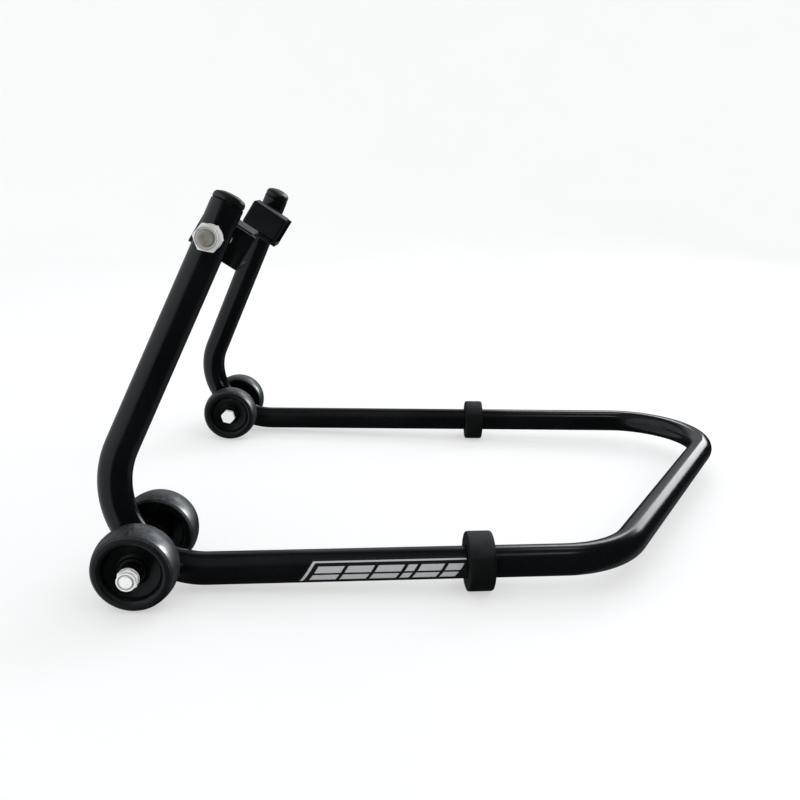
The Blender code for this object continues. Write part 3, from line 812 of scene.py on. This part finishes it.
def build_foot_ring(label, side):
    """Moulded rubber ring, eased edges, standing on a small flat."""
    node = label + "_foot_ring"
    low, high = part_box(node)
    x = (low.x + high.x) / 2.0
    share = (x - ROOT_X) / RAIL_LENGTH[side]
    tube = root_corner(side).lerp(handle_corner(side), share)
    radius = 23.5 * MM
    lift = radius - 1.2 * MM - tube.z
    half = 10.2 * MM
    count = 96
    builder = bmesh.new()
    outer = rounded_profile([
        (TUBE_RADIUS + 0.35 * MM, -half, 0), (radius - 0.35 * MM, -half, 1.5 * MM),
        (radius, -half + 2.6 * MM, 2.5 * MM), (radius, half - 2.6 * MM, 2.5 * MM),
        (radius - 0.35 * MM, half, 1.5 * MM), (TUBE_RADIUS + 0.35 * MM, half, 0)], False, 6)
    loops = lathe_rings(builder, outer[1:-1], count)
    for vertex in builder.verts:
        vertex.co.y += lift
    bore = TUBE_RADIUS + 0.25 * MM
    inner = rounded_profile([(bore + 2 * MM, half, 0), (bore, half, 0.7 * MM),
                             (bore, -half, 0.7 * MM), (bore + 2 * MM, -half, 0)], False, 4)
    loops += lathe_rings(builder, inner[1:-1], count)
    loft(builder, loops + [loops[0]])
    bmesh.ops.transform(builder, matrix=rail_basis(side), verts=builder.verts)
    for vertex in builder.verts:
        vertex.co.z = max(vertex.co.z, -tube.z)
    bmesh.ops.translate(builder, vec=tube, verts=builder.verts)
    new_object(label + "_rubber_ring", builder, RUBBER, "frame", [node], 40)


# Swingarm rests ----------------------------------------------------------------------------

REST_TILT = math.radians(31.0)
PLATE = {"rear": -17.0 * MM, "front": 25.5 * MM, "bottom": -16.9 * MM, "top": 13.0 * MM,
         "thick": 4.0 * MM, "shelf": 40.0 * MM}
PAD_TOP = 14.2 * MM
PAD_FRONT = 22.5 * MM
PAD_DEPTH = 39.6 * MM


def rest_matrix(side, origin):
    """X along the plate, Y up across it, Z inward from the upright."""
    along = Vector((math.cos(REST_TILT), 0.0, -math.sin(REST_TILT))) * side
    up = Vector((math.sin(REST_TILT), 0.0, math.cos(REST_TILT)))
    inward = Vector((0.0, -side, 0.0))
    return Matrix.Translation(origin) @ Matrix((along, up, inward)).transposed().to_4x4()


def rounded_slab(section, low, high, ease, steps=3):
    """Extrude a closed (y, z) section along X with eased rims."""
    builder = bmesh.new()
    count = len(section)

    def inset(amount):
        points = []
        for i in range(count):
            before = Vector(section[i - 1])
            here = Vector(section[i])
            after = Vector(section[(i + 1) % count])
            tangent = (after - before).normalized()
            points.append(here + Vector((-tangent.y, tangent.x)) * amount)
        return points

    area = sum(section[i - 1][0] * section[i][1] - section[i][0] * section[i - 1][1]
               for i in range(count))
    sign = 1.0 if area > 0 else -1.0
    rings = []
    stations = [(low + ease * (1 - math.cos(math.pi / 2 * i / steps)),
                 ease * (1 - math.sin(math.pi / 2 * i / steps))) for i in range(steps + 1)]
    mirrored = [(high + low - x, amount) for x, amount in reversed(stations)]
    middle = [(low + (high - low) * k / 8.0, 0.0) for k in range(1, 8)]
    for x, amount in stations + middle + mirrored:
        rings.append([builder.verts.new((x, p.x, p.y)) for p in inset(sign * amount)])
    loft(builder, rings, cap_start=True, cap_end=True)
    return builder


def build_rest(label, side):
    joint = next(j for j in frame["joints"] if j["name"] == label + "_rest_swivel")
    origin = Vector(joint["pos_m"])
    body = label + "_rest"
    low, high = sorted((side * PLATE["rear"], side * PLATE["front"]))
    base = PLATE["bottom"]
    thick = PLATE["thick"]
    depth = PLATE["shelf"]
    section = rounded_profile([
        (base, 0.0, 1.2 * MM), (base, depth, 0.7 * MM), (base + thick, depth, 0.7 * MM),
        (base + thick, thick, 1.6 * MM), (PLATE["top"], thick, 0.7 * MM),
        (PLATE["top"], 0.0, 0.7 * MM)], True, 4)
    bracket = new_object(label + "_angle_bracket", rounded_slab(section, low, high, 0.5 * MM),
                         EDGE_LIT_PAINT, None)
    bracket.data.transform(rest_matrix(side, origin))
    cut_away(bracket, [rod_cutter(6.3 * MM, 0.02, origin, (0, 1, 0))])
    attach(bracket, body)
    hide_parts(label + "_rest_bracket")

    low, high = sorted((side * PLATE["rear"], side * PAD_FRONT))
    start = thick + 0.3 * MM
    floor = base + thick + 0.3 * MM
    block = rounded_profile([
        (floor, start, 2.2 * MM), (floor, PAD_DEPTH, 2.4 * MM), (PAD_TOP, PAD_DEPTH, 3.2 * MM),
        (PAD_TOP, start, 2.4 * MM)], True, 6)
    pad = new_object(label + "_rubber_block", rounded_slab(block, low, high, 2.2 * MM, 6), PAD,
                     None, smooth=50)
    pad.data.transform(rest_matrix(side, origin))
    inward = Vector((0.0, -side, 0.0))
    pocket = rod_cutter(11.3 * MM, 0.03, origin, inward)
    cut_away(pad, [pocket])
    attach(pad, body)
    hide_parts(label + "_rest_pad")


def build_rest_hardware(label, side):
    near, far, x, z = node_span(label + "_rest_bolt")
    head = 7.5 * MM
    bolt = bolt_mesh(19 * MM, head, 6.0 * MM, far - near - head, 20 * MM, 1.75 * MM)
    set_on_axis(bolt, (x, side * (near + head), z), (0, side, 0))
    new_object(label + "_rest_hex_bolt", bolt, STEEL, "frame", [label + "_rest_bolt"],
               28)
    near, far, x, z = node_span(label + "_rest_nut")
    nut = nut_mesh(19 * MM, far - near, 6.12 * MM, 3.6 * MM)
    set_on_axis(nut, (x, side * near, z), (0, side, 0), math.radians(10 * side))
    new_object(label + "_rest_lock_nut", nut, ZINC, "frame", [label + "_rest_nut"],
               28)
    insert = insert_mesh(6.12 * MM, far - near)
    set_on_axis(insert, (x, side * near, z), (0, side, 0))
    new_object(label + "_rest_nut_insert", insert, NYLON, "frame", (), 40)
    ring_piece(label + "_rest_washer", label + "_rest_flat_washer", 6.3 * MM, 9.8 * MM, ZINC)
    ring_piece(label + "_rest_spacer", label + "_rest_distance_sleeve", 6.3 * MM, 11.0 * MM, ZINC)


# Rail sticker ------------------------------------------------------------------------------

def wrapped_patch(outline, start, lift, thickness):
    """Thin solid patch on the left rail from an outline of (distance along X, angle) points."""
    side = -1.0
    matrix = rail_basis(side)
    axis = root_corner(side)
    slope = (handle_corner(side) - root_corner(side)) / RAIL_LENGTH[side]
    builder = bmesh.new()
    steps = 14
    (x0, a0), (x1, a1), (x2, a2), (x3, a3) = outline
    layers = []
    for radius in (TUBE_RADIUS + lift, TUBE_RADIUS + lift + thickness):
        grid = []
        for i in range(steps + 1):
            v = i / steps
            row = []
            for j in range(steps + 1):
                u = j / steps
                x = (x0 * (1 - u) + x1 * u) * (1 - v) + (x3 * (1 - u) + x2 * u) * v
                a = math.radians((a0 * (1 - u) + a1 * u) * (1 - v) + (a3 * (1 - u) + a2 * u) * v)
                centre = axis + slope * (start + x)
                local = Vector((math.cos(a), math.sin(a), 0.0)) * radius
                row.append(builder.verts.new(centre + matrix.to_3x3() @ local))
            grid.append(row)
        layers.append(grid)
    lower, upper = layers
    for grid in layers:
        for i in range(steps):
            for j in range(steps):
                builder.faces.new((grid[i][j], grid[i][j + 1], grid[i + 1][j + 1], grid[i + 1][j]))
    rim = [(0, j) for j in range(steps)] + [(i, steps) for i in range(steps)]
    rim += [(steps, j) for j in range(steps, 0, -1)] + [(i, 0) for i in range(steps, 0, -1)]
    for (i, j), (k, l) in zip(rim, rim[1:] + rim[:1]):
        builder.faces.new((lower[i][j], lower[k][l], upper[k][l], upper[i][j]))
    return builder


def merge(builders):
    joined = bmesh.new()
    for builder in builders:
        mesh = bpy.data.meshes.new("part")
        builder.to_mesh(mesh)
        builder.free()
        joined.from_mesh(mesh)
        bpy.data.meshes.remove(mesh)
    return joined


LEAN = -8.5 * MM
STICKER_TOP = 132


def slanted(x, width, low, high):
    """Quadrilateral between two angles round the tube; x is where its slant meets the top."""
    first = LEAN * (low - STICKER_TOP) / 60.0
    last = LEAN * (high - STICKER_TOP) / 60.0
    return [(x + first, low), (x + width + first, low), (x + width + last, high), (x + last, high)]


def build_sticker():
    """Black vinyl strip with plain slanted silver bars, each split by a slot, and a pin line."""
    start = 172 * MM
    end = 132 * MM
    bottom = 219
    base = slanted(13.5 * MM, 0.0, STICKER_TOP, bottom)
    base[1:3] = [(end, STICKER_TOP), (end, bottom)]
    label = wrapped_patch(base, start, 0.04 * MM, 0.08 * MM)
    new_object("rail_sticker_base", label, LABEL, "frame", (), 60)
    line = slanted(16 * MM, 0.0, 140, 146)
    line[1:3] = [(end - 0.5 * MM, 140), (end - 0.5 * MM, 146)]
    bars = [line, slanted(15 * MM, 2.4 * MM, 140, 214)]
    x = 21.5 * MM
    for width in (20, 20, 20, 7, 18, 12):
        for low, high in ((158, 181), (188, 210)):
            bars.append(slanted(x, width * MM, low, high))
        x += width * MM + 3.0 * MM
    patches = [wrapped_patch(bar, start, 0.13 * MM, 0.06 * MM) for bar in bars]
    new_object("rail_sticker_bars", merge(patches), SILVER, "frame", (), 60)


# Stage -------------------------------------------------------------------------------------

def stage_material():
    """Pale matte floor with the faintest mottling."""
    n = Nodes("pale_floor")
    cloud = n.noise(3.0, 5.0)
    base = n.mix(cloud, (0.44, 0.44, 0.437), (0.46, 0.46, 0.457))
    n.shader.inputs["Emission Color"].default_value = (1.0, 1.0, 1.0, 1.0)
    return n.finish(base, n.ramp(cloud, 0.3, 0.7, 0.6, 0.75),
                    n.bump(n.noise(300.0, 3.0), 0.02, 0.0005), Specular_IOR_Level=0.1,
                    Emission_Strength=FLOOR_GLOW)


def build_stage():
    """Pale floor that rises into a round backdrop."""
    bend = 1.6
    flat = 2.4
    profile = [(0.0, 0.0), (1.2, 0.0), (flat, 0.0)]
    profile += [(flat + bend * math.sin(a), bend - bend * math.cos(a))
                for a in [math.pi / 2 * i / 16 for i in range(1, 17)]]
    profile += [(flat + bend, 3.4)]
    builder = lathe(profile, 96, False)
    floor = new_object("stage_floor", builder, stage_material(), None)
    floor.visible_shadow = False
    floor.visible_glossy = False


def ray_weight(nodes, links, direction, target, low, high):
    """Smooth weight of a world ray's direction round a target direction."""
    dot = nodes.new("ShaderNodeVectorMath")
    dot.operation = "DOT_PRODUCT"
    dot.inputs[1].default_value = Vector(target).normalized()
    links.new(direction, dot.inputs[0])
    weight = nodes.new("ShaderNodeMapRange")
    weight.interpolation_type = "SMOOTHSTEP"
    weight.inputs["From Min"].default_value = low
    weight.inputs["From Max"].default_value = high
    links.new(dot.outputs["Value"], weight.inputs["Value"])
    return weight.outputs["Result"]


def area_light(name, location, target, size, size_y, power, colour=(1.0, 1.0, 1.0)):
    light = bpy.data.lights.new(name, "AREA")
    light.shape = "RECTANGLE"
    light.size = size
    light.size_y = size_y
    light.energy = power
    light.color = colour
    item = bpy.data.objects.new(name, light)
    item.location = location
    item.rotation_mode = "QUATERNION"
    item.rotation_quaternion = (Vector(target) - Vector(location)).to_track_quat("-Z", "Y")
    bpy.context.scene.collection.objects.link(item)


def build_world():
    """Even soft light; gloss surfaces see a dim room with a few broad pale areas."""
    world = bpy.data.worlds.new("studio")
    world.use_nodes = True
    nodes = world.node_tree.nodes
    links = world.node_tree.links
    soft = nodes["Background"]
    soft.inputs["Color"].default_value = (0.95, 0.97, 1.0, 1.0)
    soft.inputs["Strength"].default_value = SOFT_LIGHT
    direction = nodes.new("ShaderNodeTexCoord").outputs["Generated"]
    total = None
    for target, low, high, radiance in ROOM:
        weight = ray_weight(nodes, links, direction, target, low, high)
        scaled = nodes.new("ShaderNodeMath")
        scaled.operation = "MULTIPLY_ADD"
        scaled.inputs[1].default_value = radiance
        scaled.inputs[2].default_value = ROOM_BASE
        links.new(weight, scaled.inputs[0])
        if total is not None:
            scaled.inputs[2].default_value = 0.0
            links.new(total, scaled.inputs[2])
        total = scaled.outputs["Value"]
    room = nodes.new("ShaderNodeBackground")
    room.inputs["Color"].default_value = (0.90, 0.96, 1.0, 1.0)
    links.new(total, room.inputs["Strength"])
    path = nodes.new("ShaderNodeLightPath")
    mix = nodes.new("ShaderNodeMixShader")
    links.new(path.outputs["Is Glossy Ray"], mix.inputs["Fac"])
    links.new(soft.outputs["Background"], mix.inputs[1])
    links.new(room.outputs["Background"], mix.inputs[2])
    links.new(mix.outputs["Shader"], nodes["World Output"].inputs["Surface"])
    world.cycles.sampling_method = "NONE"
    bpy.context.scene.world = world


def build_lights():
    """Long soft boxes for the paint, and one window that only the wheels catch."""
    cool = (0.95, 0.98, 1.0)
    area_light("overhead_near", (0.65, -0.87, 2.2), (0, 0, 0), 0.45, 0.05, 1.1)
    area_light("overhead_far", (0.65, 0.60, 2.2), (0, 0, 0), 0.45, 0.05, 1.1)
    area_light("back_right", (1.74, 1.87, 0.99), (0, 0, 0.1), 1.0, 0.8, 13, cool)
    area_light("back_window", (0.74, 1.78, 1.43), (0, 0, 0.1), 0.8, 0.6, 8, cool)
    area_light("side_window", (1.85, 0.40, 1.20), (0, 0, 0.1), 0.5, 0.5, 240, cool)
    wheels = bpy.data.collections.new("wheel_receivers")
    for item in bpy.context.scene.objects:
        if item.name.endswith("_wheel_tread"):
            wheels.objects.link(item)
    bpy.data.objects["side_window"].light_linking.receiver_collection = wheels


def build_camera():
    camera = bpy.data.cameras.new("view_camera")
    camera.lens = 36.52
    camera.sensor_width = 36.0
    camera.clip_start = 0.01
    camera.clip_end = 50.0
    item = bpy.data.objects.new("view_camera", camera)
    right = Vector((0.99867, -0.03286, 0.03976))
    up = Vector((-0.03001, 0.25682, 0.96599))
    back = Vector((-0.04195, -0.96590, 0.25549))
    rotation = Matrix((right, up, back)).transposed().to_4x4()
    item.matrix_world = Matrix.Translation((-0.09985, -0.78186, 0.3055)) @ rotation
    bpy.context.scene.collection.objects.link(item)
    bpy.context.scene.camera = item


def main():
    build_tube()
    build_sticker()
    for label, side in SIDES.items():
        build_plug(label, side)
        build_axle_hardware(label, side)
        for place in ("outer", "inner"):
            build_wheel(label, place)
        build_foot_ring(label, side)
        build_rest(label, side)
        build_rest_hardware(label, side)
    build_stage()
    build_world()
    build_lights()
    build_camera()
    bpy.context.scene.view_settings.view_transform = "Standard"


main()
